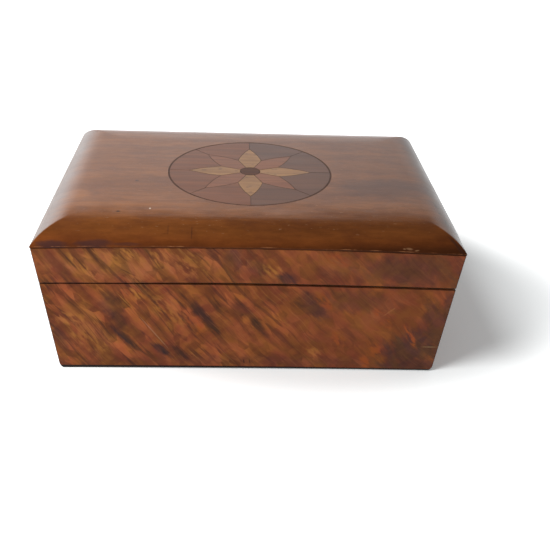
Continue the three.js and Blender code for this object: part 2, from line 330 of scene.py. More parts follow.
# Straight grain along the first axis: soft bands, fibres and short open pores.
straightSettings = {
    "drift": (0.008, 0.02, 1.0, 0.5),
    "driftReach": 9.0,
    "bandLength": 240.0,
    "bandDetail": (3.0, 0.6),
    "bandMask": (0.34, 0.66),
    "fibres": (0.045, 1.3, 3.0, 0.65),
    "pores": (0.16, 2.6, 1.0, 0.5),
    "poreMask": (0.66, 0.76),
    "poreHeight": -0.8,
}


def buildStraightGrain(settings):
    tree, given, result = newGroup(
        "straightGrain",
        [("Place", "Vector", None), ("Band Width", "Float", 9.0), ("Seed", "Float", 0.0)],
        [("Bands", "Float"), ("Fibres", "Float"), ("Pores", "Float"), ("Height", "Float")],
    )
    place = shifted(tree, given["Place"], given["Seed"])
    drift = centred(tree, noiseAt(tree, place, settings["drift"]), settings["driftReach"])
    drift = addNode(tree, "CombineXYZ", {1: drift}).outputs[0]
    place = vectorMaths(tree, "ADD", place, drift)
    inputs = {0: settings["bandLength"], 1: given["Band Width"], 2: 1.0}
    size = addNode(tree, "CombineXYZ", inputs).outputs[0]
    bandPlace = vectorMaths(tree, "DIVIDE", place, size)
    bands = noiseOf(tree, bandPlace, *settings["bandDetail"]).outputs[0]
    tree.links.new(smoothMask(tree, bands, *settings["bandMask"]), result["Bands"])
    fibres = noiseAt(tree, place, settings["fibres"])
    tree.links.new(fibres, result["Fibres"])
    pores = smoothMask(tree, noiseAt(tree, place, settings["pores"]), *settings["poreMask"])
    tree.links.new(pores, result["Pores"])
    height = maths(tree, "MULTIPLY_ADD", pores, settings["poreHeight"], fibres)
    tree.links.new(height, result["Height"])
    return tree


straightGrain = buildStraightGrain(straightSettings)


# One soft mark: a long spot. Its two directions are divided by its half length and half width.
spotMask = (1.0, 0.35)  # where it begins and where it has its full strength, as shares of those


def buildSoftSpot():
    tree, given, result = newGroup(
        "softSpot",
        [
            ("Place", "Vector", None),
            ("Centre", "Vector", None),
            ("Along", "Vector", (0.1, 0.0, 0.0)),
            ("Across", "Vector", (0.0, 0.2, 0.0)),
            ("Rough", "Float", 0.0),
        ],
        [("Mask", "Float")],
    )
    away = vectorMaths(tree, "SUBTRACT", given["Place"], given["Centre"])
    reaches = [dotProduct(tree, away, given[name]) for name in ("Along", "Across")]
    squares = [maths(tree, "MULTIPLY", reach, reach) for reach in reaches]
    distance = maths(tree, "SQRT", maths(tree, "ADD", squares[0], squares[1]))
    distance = maths(tree, "ADD", distance, given["Rough"])
    tree.links.new(smoothMask(tree, distance, *spotMask), result["Mask"])
    return tree


softSpot = buildSoftSpot()

# Marks of use: fine scratches three ways, listed by their lean in radians, grime in broad soft
# clouds, and smears.
handlingSettings = {
    "scratches": {
        0.35: (0.035, 1.9, 1.0, 0.5), -0.9: (0.05, 1.9, 1.0, 0.5), 1.75: (0.045, 1.9, 1.0, 0.5),
    },
    "scratchMask": (0.72, 0.78),
    "grimeAndShade": (0.03, 0.045, 4.0, 0.65),
    "grimeMask": (0.42, 0.72),
    "smears": (0.012, 0.05, 3.0, 0.6),
}


def buildHandling(settings):
    tree, given, result = newGroup(
        "handling",
        [("Place", "Vector", None), ("Seed", "Float", 0.0)],
        [("Scratches", "Float"), ("Grime", "Float"), ("Smears", "Float")],
    )
    place = shifted(tree, given["Place"], given["Seed"])
    scratches = 0.0
    for lean, row in settings["scratches"].items():
        lines = noiseAt(tree, turned(tree, place, lean), row)
        mask = smoothMask(tree, lines, *settings["scratchMask"])
        scratches = maths(tree, "MAXIMUM", mask, scratches)
    tree.links.new(scratches, result["Scratches"])
    grimeAndShade = smoothMask(tree, noiseAt(tree, place, settings["grimeAndShade"]), *settings["grimeMask"])
    tree.links.new(grimeAndShade, result["Grime"])
    tree.links.new(noiseAt(tree, place, settings["smears"]), result["Smears"])
    return tree


handling = buildHandling(handlingSettings)

# Eased edges: light wear, also a painted highlight, on those marked for it, broken up along
# their length, and dark grime, also painted shade, on those marked for that.
edgeWearAndLightSettings = {
    "patches": (0.07, 0.07, 4.0, 0.7),
    "softness": 0.1,
    "grimeAndShadeStrength": (0.6, 1.1),
}


def buildEdgeWearAndLight(settings):
    tree, given, result = newGroup(
        "edgeWearAndLight",
        [("Place", "Vector", None), ("Break Up", "Float", 0.5)],
        [("Worn And Lit", "Float"), ("Grimy And Shaded", "Float")],
    )
    patchy = noiseAt(tree, given["Place"], settings["patches"])
    low = maths(tree, "SUBTRACT", given["Break Up"], settings["softness"])
    high = maths(tree, "ADD", given["Break Up"], settings["softness"])
    kept = smoothMask(tree, patchy, low, high)
    wornAndLit = addNode(tree, "Attribute", attribute_name="wornAndLit").outputs["Fac"]
    tree.links.new(maths(tree, "MULTIPLY", wornAndLit, kept), result["Worn And Lit"])
    grimyAndShaded = addNode(tree, "Attribute", attribute_name="grimyAndShaded").outputs["Fac"]
    strength = spread(tree, patchy, *settings["grimeAndShadeStrength"])
    tree.links.new(maths(tree, "MULTIPLY", grimyAndShaded, strength, clamp=True), result["Grimy And Shaded"])
    return tree


edgeWearAndLight = buildEdgeWearAndLight(edgeWearAndLightSettings)
print("shader groups built")


def newMaterial(name):
    material = bpy.data.materials.new(name)
    material.use_nodes = True
    material.node_tree.nodes.clear()
    tree = material.node_tree
    shader = addNode(tree, "BsdfPrincipled")
    output = addNode(tree, "OutputMaterial")
    tree.links.new(shader.outputs[0], output.inputs["Surface"])
    return material, tree, shader.inputs


def addBump(tree, sockets, height, strength, distance):
    inputs = {"Height": height, "Strength": strength, "Distance": distance}
    tree.links.new(addNode(tree, "Bump", inputs).outputs[0], sockets["Normal"])


# The masks of one colour are joined before they are mixed in, which keeps the shader small.
def addMarks(tree, place, colour, marks, rough, broken=None):
    masks = {}
    for x, y, length, width, lean, strength, colourName in marks:
        turn = math.radians(lean)
        mask = useGroup(tree, softSpot, {
            "Place": place,
            "Centre": (x, y, 0.0),
            "Along": (math.cos(turn) / length, -math.sin(turn) / length, 0.0),
            "Across": (math.sin(turn) / width, math.cos(turn) / width, 0.0),
            "Rough": rough,
        })["Mask"]
        mask = maths(tree, "MULTIPLY", mask, strength)
        if colourName in masks:
            mask = maths(tree, "MAXIMUM", mask, masks[colourName])
        masks[colourName] = mask
    for colourName, mask in masks.items():
        if broken and colourName in broken:
            mask = maths(tree, "MULTIPLY", mask, broken[colourName])
        colour = mixColour(tree, mask, colour, paint(*markColours[colourName]))
    return colour


# Marks from the photograph, in rows: place along and up the face, half length and half
# width, all in millimetres, then lean in degrees, strength and colour.
markColours = {
    "umber": (56, 33, 24),
    "plum": (76, 50, 42),
    "ink": (40, 28, 34),
    "tan": (168, 106, 60),
    "gold": (184, 116, 58),
    "ember": (168, 84, 36),
    "pale": (190, 146, 110),
    "black": (24, 15, 12),
    "stain": (56, 40, 44),
    "dust": (225, 215, 200),
    "chip": (176, 132, 96),
}
frontTints = [
    (-95, 96, 62, 17, 0, 0.62, "tan"),
    (-30, 96, 26, 12, 10, 0.3, "tan"),
    (-122, 50, 22, 14, 50, 0.4, "tan"),
    (-112, 32, 24, 11, 54, 0.4, "tan"),
    (62, 94, 16, 12, 0, 0.3, "tan"),
    (-12, 100, 15, 10, 70, 0.55, "plum"),
    (4, 94, 14, 9, 20, 0.45, "plum"),
    (112, 92, 52, 18, 0, 0.55, "plum"),
    (-100, 58, 17, 12, 70, 0.6, "plum"),
    (-141, 30, 15, 6, 70, 0.5, "plum"),
    (48, 60, 22, 10, 50, 0.6, "plum"),
    # The plum rows from here through the one at the lower right corner darken the lower right end
    # and the right edge of the front: painted shade.
    (124, 20, 36, 24, -33, 0.85, "plum"),
    (140, 45, 34, 12, 70, 0.7, "plum"),
    (147.5, 39, 78, 11, 95, 0.75, "plum"),
    (126, 5, 42, 9, 0, 0.8, "plum"),
    (92, 52, 30, 10, -42, 0.2, "tan"),
    (76, 65, 40, 14, 0, 0.42, "plum"),
    # This long row darkens the front along its foot.
    (20, 8, 150, 7, 0, 0.3, "plum"),
]
frontMarks = [
    (25.5, 84, 11, 7, 20, 0.85, "ink"),
    (-11, 103, 9, 6, 60, 0.4, "ink"),
    (-100, 66, 14, 7, 40, 0.6, "umber"),
    (-97, 46, 15, 8, 55, 0.65, "umber"),
    (-91, 28, 22, 4.5, 50, 0.9, "umber"),
    (-65.5, 17, 13, 4.5, 48, 1.0, "ink"),
    (-33, 49, 24, 6, 52, 0.95, "umber"),
    (-37, 54, 10, 5, 52, 0.6, "ink"),
    (-7, 57, 17, 7, 45, 0.65, "umber"),
    (6.6, 41, 18, 5, 52, 0.9, "umber"),
    (44, 62, 19, 9, 42, 0.6, "umber"),
    (-52, 14, 15, 5, 50, 0.7, "umber"),
    (-3.4, 7, 3, 0.7, 80, 0.8, "black"),
    (1, 7, 3, 0.6, 80, 0.7, "black"),
    (-117, 91, 20, 5, 50, 0.8, "gold"),
    (-98, 100, 12, 8, 30, 0.7, "gold"),
    (-86, 103, 12, 6, 0, 0.9, "gold"),
    (-63, 100, 12, 9, -50, 0.7, "gold"),
    (-81, 85, 11, 7, 50, 0.6, "gold"),
    (-43, 94, 16, 11, 45, 0.6, "gold"),
    (-132, 47, 16, 8, 10, 0.8, "gold"),
    (-82, 69, 11, 6, 30, 0.8, "gold"),
    (-118, 30, 24, 14, 52, 0.5, "gold"),
    (-60, 55, 26, 12, 52, 0.5, "gold"),
    (16, 91, 9, 8, 60, 0.7, "gold"),
    (-39, 41, 14, 9, 60, 0.6, "ember"),
    (51, 16, 9, 7, 60, 0.6, "gold"),
    (61, 101, 13, 8, 20, 0.5, "ember"),
    (99, 50, 14, 5, 55, 0.7, "ember"),
    (122, 33, 18, 4.0, 66, 0.8, "ember"),
    (97, 19, 15, 7, 55, 0.7, "ember"),
    (89.6, 7, 11, 5, 75, 0.8, "ember"),
    (56, 65, 13, 8, 50, 0.6, "ember"),
    (68, 29, 13, 7, 60, 0.6, "ember"),
    (-89, 61.5, 12, 0.8, 53, 0.6, "gold"),
    (-71, 35, 21, 0.7, 56, 0.4, "pale"),
    (-127.4, 28.7, 13.3, 2.0, 56, 0.6, "gold"),
    (103, 55.7, 8.3, 0.8, -43, 0.5, "tan"),
    (139, 23.4, 8.5, 0.36, 0, 0.75, "pale"),
]
frontLines = [
    (-127, 98.4, 14, 1.0, 57, 0.75, "umber"),
    (-69, 100, 11, 0.9, 60, 0.75, "umber"),
    (-118.6, 95, 15, 0.8, 57, 0.6, "umber"),
    (-86.6, 88, 9.5, 0.8, 30, 0.6, "umber"),
    (-90, 101, 8, 0.8, 44, 0.6, "umber"),
    (-91.6, 27, 18, 1.2, 51, 0.7, "ink"),
    (-118, 31, 16, 0.5, 61, 0.6, "umber"),
    (-115, 33, 17, 0.5, 62, 0.5, "umber"),
    (-112.5, 35, 17, 0.5, 62, 0.6, "umber"),
    (-110, 37, 17, 0.5, 63, 0.5, "umber"),
    (-107.6, 40, 16, 0.5, 63, 0.5, "umber"),
    (-64, 46, 22, 0.7, 60, 0.6, "umber"),
    (-29.5, 39, 25, 1.1, 56, 0.5, "umber"),
]
sideMarks = [
    (-60, 40, 22, 7, 50, 0.6, "umber"),
    (35, 22, 26, 6, 42, 0.6, "umber"),
    (70, 90, 18, 9, 30, 0.5, "plum"),
    (-20, 92, 9, 3, 50, 0.5, "gold"),
    (10, 60, 12, 3, 48, 0.5, "ember"),
]
backMarks = [
    (-95, 30, 28, 6, 40, 0.6, "umber"),
    (20, 55, 24, 6, 52, 0.6, "umber"),
    (105, 92, 26, 8, 30, 0.4, "plum"),
    (-40, 95, 12, 3, 50, 0.5, "gold"),
    (60, 40, 13, 3, 50, 0.5, "ember"),
]

veneerLook = {
    "red": (128, 65, 36),
    "orange": (150, 82, 42),
    "band": (98, 48, 27),
    "gold": (184, 112, 52),
    "streak": (64, 34, 24),
    "line": (176, 116, 66),
    "wornLitArris": (152, 98, 62),
    "grimeAndShade": (16, 9, 7),
    "bandStrength": 0.6,
    "streakStrength": 0.7,
    "lineStrength": 0.3,
    "mottleStrength": 0.22,
    "facetContrast": 0.42,
    "fibreContrast": 0.18,
    "roseTint": (1.04, 0.96, 1.14, 1.0),
    "oliveTint": (0.97, 1.04, 0.86, 1.0),
    "fleckMask": (0.42, 0.58),
    "cloudSpread": (1.3, 0.3),
    "calm": (-50.0, 85.0),  # where the figure starts to calm down, and where it is calmest
    "calmShare": 0.36,  # what is left of its contrast there
    "calmTone": 0.95,
    "leanSpread": (3.0, -7.0),  # degrees more at the left end and at the right one
    "wander": (7.0, 15.0),
    "dull": (52, 30, 22),
    "dullStrength": 0.2,
    "footShadeBand": (3.0, 1.4),  # height of the painted shade along the foot, at the left and at the right
    "footShadeMask": (0.5, -0.4),
    "breakUp": 0.58,
    "roughness": (0.42, 0.6),
    "specular": 0.12,
    "bump": 0.22,
    "bumpDepth": 0.0003,
}


def veneerMaterial(name, along, across, lean, tints, marks, lines, values):
    material, tree, sockets = newMaterial(name)
    place = useGroup(tree, surfacePlace, {"Along": along, "Across": across})["Place"]
    right, height = addNode(tree, "SeparateXYZ", {0: place}).outputs[:2]
    ends = (cadLow.x * toMillimetres, cadHigh.x * toMillimetres)
    calm = smoothMask(tree, right, *values["calm"])
    lively = spread(tree, calm, 1.0, values["calmShare"])
    leans = [math.radians(lean + more) for more in values["leanSpread"]]
    grain = useGroup(tree, figuredGrain, {
        "Place": place,
        "Lean": spread(tree, right, *leans, *ends),
        "Wander": spread(tree, calm, *values["wander"]),
    })
    use = useGroup(tree, handling, {"Place": place})

    def over(mask, strength, colourName, under):
        factor = maths(tree, "MULTIPLY", maths(tree, "MULTIPLY", mask, strength), lively)
        return mixColour(tree, factor, under, paint(*values[colourName]))

    def varied(mask, contrast, under):
        toned = shaded(tree, under, contrasted(tree, mask, contrast))
        return mixColour(tree, lively, under, toned)

    colour = mixColour(tree, grain["Patches"], paint(*values["red"]), paint(*values["orange"]))
    colour = addMarks(tree, place, colour, tints, grain["Rough"])
    colour = varied(grain["Facets"], values["facetContrast"], colour)
    colour = over(grain["Mottle"], values["mottleStrength"], "gold", colour)
    colour = over(grain["Bands"], values["bandStrength"], "band", colour)
    colour = over(grain["Streaks"], values["streakStrength"], "streak", colour)
    flecked = smoothMask(tree, grain["Sparks"], *values["fleckMask"])
    clouded = spread(tree, grain["Sparks"], *values["cloudSpread"])
    broken = {"gold": flecked, "ember": flecked, "umber": clouded, "ink": clouded}
    colour = addMarks(tree, place, colour, marks, grain["Rough"], broken)
    colour = addMarks(tree, place, colour, lines, grain["Rough"], broken)
    colour = over(grain["Lines"], values["lineStrength"], "line", colour)
    colour = varied(grain["Fibres"], values["fibreContrast"], colour)
    colour = shaded(tree, colour, spread(tree, calm, 1.0, values["calmTone"]))
    tint = mixColour(tree, grain["Hue"], values["roseTint"], values["oliveTint"])
    colour = shaded(tree, colour, tint)
    colour = overlaid(tree, colour, use["Grime"], values["dullStrength"], values["dull"])
    # A dark band along the foot, taller at the left: painted shade where the front meets the
    # floor.
    band = spread(tree, right, *values["footShadeBand"], *ends)
    band = smoothMask(tree, maths(tree, "SUBTRACT", height, band), *values["footShadeMask"])
    # Eased edges: lighter wear that is also a painted highlight, and dark grime that is also
    # painted shade.
    edges = useGroup(tree, edgeWearAndLight, {"Place": place, "Break Up": values["breakUp"]})
    colour = mixColour(tree, edges["Worn And Lit"], colour, paint(*values["wornLitArris"]))
    edgeAndFootShade = maths(tree, "MAXIMUM", edges["Grimy And Shaded"], band)
    colour = mixColour(tree, edgeAndFootShade, colour, paint(*values["grimeAndShade"]))
    tree.links.new(colour, sockets["Base Color"])
    tree.links.new(spread(tree, use["Smears"], *values["roughness"]), sockets["Roughness"])
    sockets["Specular IOR Level"].default_value = values["specular"]
    addBump(tree, sockets, grain["Height"], values["bump"], values["bumpDepth"])
    return material


materials = {
    "front_veneer": veneerMaterial(
        "frontVeneer", (1, 0, 0), (0, 0, 1), 52, frontTints, frontMarks, frontLines, veneerLook
    ),
    "side_veneer": veneerMaterial(
        "sideVeneer", (0, 1, 0), (0, 0, 1), 48, [], sideMarks, [], veneerLook
    ),
    "back_veneer": veneerMaterial(
        "backVeneer", (-1, 0, 0), (0, 0, 1), 50, [], backMarks, [], veneerLook
    ),
}

topMarks = [
    (-137, -109.6, 15, 2.6, 0, 0.68, "stain"),
    (-109, -109.2, 18, 2.6, 0, 0.62, "stain"),
    (-86, -109.6, 15, 1.0, 0, 0.4, "stain"),
    (-128, -48, 13, 11, 40, 0.3, "gold"),
    (-85, -66, 58, 8, 0, 0.16, "gold"),
    (106, -28, 54, 25, -6, 0.55, "plum"),
    (-95, -79, 2.4, 1.8, 0, 0.9, "black"),
    (-88, -23, 2.0, 1.7, 0, 0.8, "umber"),
    (17, -43, 2.4, 2.2, 0, 0.9, "black"),
    (140.5, -54, 4, 0.9, 80, 0.7, "black"),
    (141, -66, 1.6, 1.1, 0, 0.9, "black"),
    (143, -78, 7, 1.0, 80, 0.6, "black"),
    (145, -106, 11, 1.5, 45, 0.7, "umber"),
    (-41.5, -103, 6, 0.8, 90, 0.45, "umber"),
    (-58, -101, 6, 0.9, 90, 0.3, "umber"),
    (-73, -73.5, 0.8, 1.3, 0, 0.8, "dust"),
    (111, -109.2, 3.0, 0.7, 4, 0.3, "chip"),
    (116.5, -109.8, 2.4, 0.4, -5, 0.35, "chip"),
    (107.5, -109.3, 1.4, 0.5, 0, 0.3, "chip"),
]
# Heights are from the ledge, or from the crown where the key says so, in millimetres.
topLook = {
    "light": (136, 83, 43),
    "dark": (120, 72, 38),
    "bandWidth": 16.0,
    "seed": 37.0,
    "fibreContrast": 0.12,
    "scuffs": (0.06, 0.22, 4.0, 0.65),
    "scuffMask": (0.36, 0.64),
    "scuffContrast": 0.11,
    "pore": (52, 30, 20),
    "poreStrength": 0.4,
    "patina": (100, 58, 38),
    "patinaStrength": 0.5,
    # Painted shade: the top darkens towards its right end, where the light falls off.
    "paintedFalloff": 0.28,
    "paintedFalloffFrom": (-150.0, 150.0),
    "mouldingTop": (0.66, 0.58, 0.48, 1.0),
    "mouldingFoot": (0.61, 0.46, 0.35, 1.0),
    "belowCrown": -2.0,
    "aboveLedge": 4.0,
    "frontal": (0.3, 0.08),
    "frontTint": (-74.0, -95.0),  # from the flat to the front edge
    "waver": 30.0,  # how far the line between flat and moulding strays
    "waverNoise": (0.02, 0.05, 3.0, 0.6),
    "sideways": (0.16, 0.55),
    "sideTint": (0.50, 0.52, 0.56, 1.0),
    "roughness": (0.24, 0.38),
    "scratchedRoughness": 0.12,
    "specular": 0.5,
    "mattSpecular": 0.04,
    "frontWear": (-52.0, -84.0),
    "frontLoss": 0.94,  # of the polish
    "mattHeights": (4.0, 1.5),
    "footGrimeAndShade": (34, 18, 12),
    "footHeights": (7.5, 2.0),
    "footRightward": (-160.0, 150.0),
    "footStrength": 0.6,
    "nick": (188, 150, 118),
    "nicks": (0.22, 0.8, 2.0, 0.5),
    "nickMask": (0.66, 0.75),
    "nickStrength": 0.3,
    "nickHeightsFromCrown": (-7.0, -1.0),
    "markHeights": (0.2, 0.5),
    "markNoise": (0.09, 0.3, 4.0, 0.65),
    "breakUp": 0.56,
    "wornLitArris": (150, 98, 64),
    "grimeAndShade": (18, 10, 8),
    "bump": 0.25,
    "bumpDepth": 0.0003,
}


def topGrain(tree, place, grain, use, values):
    colour = mixColour(tree, grain["Bands"], paint(*values["dark"]), paint(*values["light"]))
    colour = shaded(tree, colour, contrasted(tree, grain["Fibres"], values["fibreContrast"]))
    scuffs = smoothMask(tree, noiseAt(tree, place, values["scuffs"]), *values["scuffMask"])
    colour = shaded(tree, colour, contrasted(tree, scuffs, values["scuffContrast"]))
    colour = overlaid(tree, colour, grain["Pores"], values["poreStrength"], values["pore"])
    return overlaid(tree, colour, use["Grime"], values["patinaStrength"], values["patina"])


def topMaterial(name, values):
    material, tree, sockets = newMaterial(name)
    place = useGroup(tree, surfacePlace, {"Along": (1, 0, 0), "Across": (0, 1, 0)})["Place"]
    edgePlace = useGroup(tree, surfacePlace, {"Along": (1, 0, 0), "Across": (0, 0, 1)})["Place"]
    grain = useGroup(tree, straightGrain, {"Place": place, "Band Width": values["bandWidth"]})
    use = useGroup(tree, handling, {"Place": place, "Seed": values["seed"]})
    right, height = addNode(tree, "SeparateXYZ", {0: edgePlace}).outputs[:2]
    crown, ledge = cadHigh.z * toMillimetres, ledgeHeight * toMillimetres

    def between(level, heights):
        return smoothMask(tree, height, *(level + more for more in heights))

    colour = topGrain(tree, place, grain, use, values)
    # Painted shade: darker towards the right end, for light falling off across the top.
    half = values["paintedFalloff"] / 2
    tone = spread(tree, right, 1 + half, 1 - half, *values["paintedFalloffFrom"])
    colour = shaded(tree, colour, tone)

    # The front moulding is darker and redder than the flat, those of the two ends are greyer.
    normal = addNode(tree, "SeparateXYZ", {0: addNode(tree, "TexCoord").outputs["Normal"]}).outputs
    aside = maths(tree, "ABSOLUTE", normal[0])
    frontal = smoothMask(tree, aside, *values["frontal"])
    waver = centred(tree, noiseAt(tree, place, values["waverNoise"]), values["waver"])
    depth = maths(tree, "ADD", addNode(tree, "SeparateXYZ", {0: place}).outputs[1], waver)
    moulded = maths(tree, "MULTIPLY", smoothMask(tree, depth, *values["frontTint"]), frontal)
    heights = crown + values["belowCrown"], ledge + values["aboveLedge"]
    lower = smoothMask(tree, height, *heights)
    tint = mixColour(tree, lower, values["mouldingTop"], values["mouldingFoot"])
    colour = mixColour(tree, moulded, colour, shaded(tree, colour, tint))
    sideways = smoothMask(tree, aside, *values["sideways"])
    colour = mixColour(tree, sideways, colour, shaded(tree, colour, values["sideTint"]))

    # Its polish is rubbed away, and its foot is darker, more so to the right: grime and painted
    # shade.
    rubbed = maths(tree, "MULTIPLY", smoothMask(tree, depth, *values["frontWear"]), frontal)
    rubbed = maths(tree, "MULTIPLY", rubbed, values["frontLoss"])
    matt = maths(tree, "MAXIMUM", rubbed, between(ledge, values["mattHeights"]))
    specular = spread(tree, matt, values["specular"], values["mattSpecular"])
    tree.links.new(specular, sockets["Specular IOR Level"])
    strength = smoothMask(tree, right, *values["footRightward"])
    strength = maths(tree, "MULTIPLY", strength, values["footStrength"])
    foot = between(ledge, values["footHeights"])
    colour = overlaid(tree, colour, foot, strength, values["footGrimeAndShade"])

    nicks = smoothMask(tree, noiseAt(tree, place, values["nicks"]), *values["nickMask"])
    nicks = maths(tree, "MULTIPLY", nicks, values["nickStrength"])
    reach = between(crown, values["nickHeightsFromCrown"])
    colour = overlaid(tree, colour, nicks, reach, values["nick"])
    rough = centred(tree, noiseAt(tree, place, values["markNoise"]), 1.0)
    marked = addMarks(tree, place, colour, topMarks, rough)
    colour = mixColour(tree, between(ledge, values["markHeights"]), colour, marked)
    # Eased edges: lighter wear that is also a painted highlight, and dark grime that is also
    # painted shade.
    edges = useGroup(tree, edgeWearAndLight, {"Place": place, "Break Up": values["breakUp"]})
    colour = mixColour(tree, edges["Worn And Lit"], colour, paint(*values["wornLitArris"]))
    colour = mixColour(tree, edges["Grimy And Shaded"], colour, paint(*values["grimeAndShade"]))
    tree.links.new(colour, sockets["Base Color"])
    scratched = maths(tree, "MULTIPLY", use["Scratches"], values["scratchedRoughness"])
    gloss = maths(tree, "ADD", spread(tree, use["Smears"], *values["roughness"]), scratched)
    tree.links.new(gloss, sockets["Roughness"])
    addBump(tree, sockets, grain["Height"], values["bump"], values["bumpDepth"])
    return material


materials["top_wood"] = topMaterial("topBoard", topLook)

# Bare wood of the boards and the bottom, and the woods of the inlay.
woodLooks = {
    "carcass_wood": {
        "light": (176, 132, 88), "dark": (138, 98, 62), "across": (0, 1, 1),
        "bandWidth": 7.0, "contrast": 0.22, "roughness": (0.62, 0.78), "seed": 11.0,
    },
    "bottom_wood": {
        "light": (168, 128, 88), "dark": (130, 94, 62),
        "bandWidth": 11.0, "contrast": 0.22, "roughness": (0.65, 0.8), "seed": 53.0,
    },
    "inlay_pale": {
        "light": (164, 118, 70), "dark": (142, 98, 56),
        "bandWidth": 5.0, "contrast": 0.16, "roughness": (0.32, 0.44), "seed": 5.0, "eyes": 0.6,
    },
    "inlay_rose": {
        "light": (138, 84, 52), "dark": (122, 70, 44),
        "bandWidth": 4.0, "contrast": 0.24, "roughness": (0.32, 0.46), "seed": 71.0,
    },
    "inlay_brown": {
        "light": (128, 74, 42), "dark": (110, 62, 36),
        "bandWidth": 6.0, "contrast": 0.24, "roughness": (0.32, 0.46), "seed": 23.0,
    },
    "inlay_grey": {
        "light": (108, 68, 46), "dark": (92, 58, 42),
        "bandWidth": 5.0, "contrast": 0.26, "roughness": (0.32, 0.46), "seed": 97.0,
    },
    "inlay_stringing": {
        "light": (96, 62, 46), "dark": (80, 52, 40),
        "bandWidth": 3.0, "contrast": 0.2, "roughness": (0.38, 0.5), "seed": 3.0, "specular": 0.12,
    },
}
woodShared = {
    "along": (1, 0, 0),
    "across": (0, 1, 0),
    "pore": (60, 40, 28),
    "poreStrength": 0.3,
    "dull": (84, 60, 44),
    "dullStrength": 0.25,
    "grimeAndShade": (34, 22, 18),
    "specular": 0.5,
    "grimyAndShadedSpecular": 0.05,
    "bump": 0.2,
    "bumpDepth": 0.0002,
    "eyes": 0.0,
    "eye": (112, 76, 46),
    "eyeTurns": (0.16, 0.16),
    "eyeMask": (0.26, 0.1),
}


def plainWoodMaterial(name, look):
    values = {**woodShared, **look}
    material, tree, sockets = newMaterial(name)
    places = {"Along": values["along"], "Across": values["across"]}
    place = useGroup(tree, surfacePlace, places)["Place"]
    settings = {"Place": place, "Band Width": values["bandWidth"], "Seed": values["seed"]}
    grain = useGroup(tree, straightGrain, settings)
    use = useGroup(tree, handling, {"Place": place, "Seed": values["seed"]})
    colour = mixColour(tree, grain["Bands"], paint(*values["dark"]), paint(*values["light"]))
    if values["eyes"]:
        colour = addEyes(tree, place, colour, values)
    colour = shaded(tree, colour, contrasted(tree, grain["Fibres"], values["contrast"]))
    colour = overlaid(tree, colour, grain["Pores"], values["poreStrength"], values["pore"])
    colour = overlaid(tree, colour, use["Grime"], values["dullStrength"], values["dull"])
    # Eased edges are darkened: grime and painted shade, and dark joints on the inlay pieces.
    edges = useGroup(tree, edgeWearAndLight, {"Place": place})
    colour = mixColour(tree, edges["Grimy And Shaded"], colour, paint(*values["grimeAndShade"]))
    tree.links.new(colour, sockets["Base Color"])
    tree.links.new(spread(tree, use["Smears"], *values["roughness"]), sockets["Roughness"])
    specular = spread(tree, edges["Grimy And Shaded"], values["specular"], values["grimyAndShadedSpecular"])
    tree.links.new(specular, sockets["Specular IOR Level"])
    addBump(tree, sockets, grain["Height"], values["bump"], values["bumpDepth"])
    return material


def addEyes(tree, place, colour, values):  # the small dark eyes and blocks of a burr
    inputs = {"Vector": scaled(tree, place, *values["eyeTurns"]), "Scale": 1.0}
    cells = addNode(tree, "TexVoronoi", inputs, feature="SMOOTH_F1").outputs["Distance"]
    mask = smoothMask(tree, cells, *values["eyeMask"])
    return overlaid(tree, colour, mask, values["eyes"], values["eye"])


for slotName, look in woodLooks.items():
    materials[slotName] = plainWoodMaterial(slotName.replace("_", " "), look)

# The boards of the two ends are cut from the same wood, with their grain running back.
endBoardLook = {**woodLooks["carcass_wood"], "along": (0, 1, 0), "across": (1, 0, 1), "seed": 29.0}
endBoardWood = plainWoodMaterial("end boards", endBoardLook)

metalLooks = {
    "hinge_brass": {"clean": (196, 160, 96), "dull": (150, 118, 70), "roughness": (0.32, 0.55)},
    "screw_brass": {"clean": (188, 150, 88), "dull": (134, 104, 62), "roughness": (0.36, 0.6)},
    "pin_steel": {"clean": (150, 146, 140), "dull": (92, 74, 60), "roughness": (0.35, 0.6)},
}
metalShared = {
    "metallic": 0.7,
    "tarnish": (0.35, 0.5, 5.0, 0.7),
    "tarnishMask": (0.3, 0.7),
    "lines": (0.2, 8.0, 2.0, 0.5),
    "bump": 0.15,
    "bumpDepth": 0.0001,
}


def metalMaterial(name, look):
    values = {**metalShared, **look}
    material, tree, sockets = newMaterial(name)
    place = useGroup(tree, surfacePlace, {"Along": (1, 0, 0), "Across": (0, 1, 1)})["Place"]
    tarnish = smoothMask(tree, noiseAt(tree, place, values["tarnish"]), *values["tarnishMask"])
    colour = mixColour(tree, tarnish, paint(*values["clean"]), paint(*values["dull"]))
    tree.links.new(colour, sockets["Base Color"])
    tree.links.new(spread(tree, tarnish, *values["roughness"]), sockets["Roughness"])
    sockets["Metallic"].default_value = values["metallic"]
    lines = noiseAt(tree, place, values["lines"])
    addBump(tree, sockets, lines, values["bump"], values["bumpDepth"])
    return material


for slotName, look in metalLooks.items():
    materials[slotName] = metalMaterial(slotName.replace("_", " "), look)
print("materials built:", len(materials))

# Every node of the frame takes the material of its slot.
slotOf = {row["node"]: row["material_slot"] for row in frame["record"]["subparts"]}
bodyOf = {}
for bodyName, members in frame["record"]["behaviour"]["bodies"].items():
    for member in members:
        bodyOf[member] = bodyName
for nodeName, node in nodes.items():
    node.data.materials.clear()
    node.data.materials.append(materials[slotOf[nodeName]])


# The front has warped a little with age. Each row says how far that line has risen at the
# middle, its slope along the front and its curve, all in metres. The joint gapes to the right.
bow = {
    "ledge": (0.0019, -0.0031, -0.117),
    "joint": (0.0006, -0.0046, -0.0673),
    "startsAt": -0.067,
    "fullAt": -0.104,
    "cutEvery": 0.014,
    "gape": 0.0008,
    "gapeFrom": -0.11,
    "gapeFull": -0.01,
}


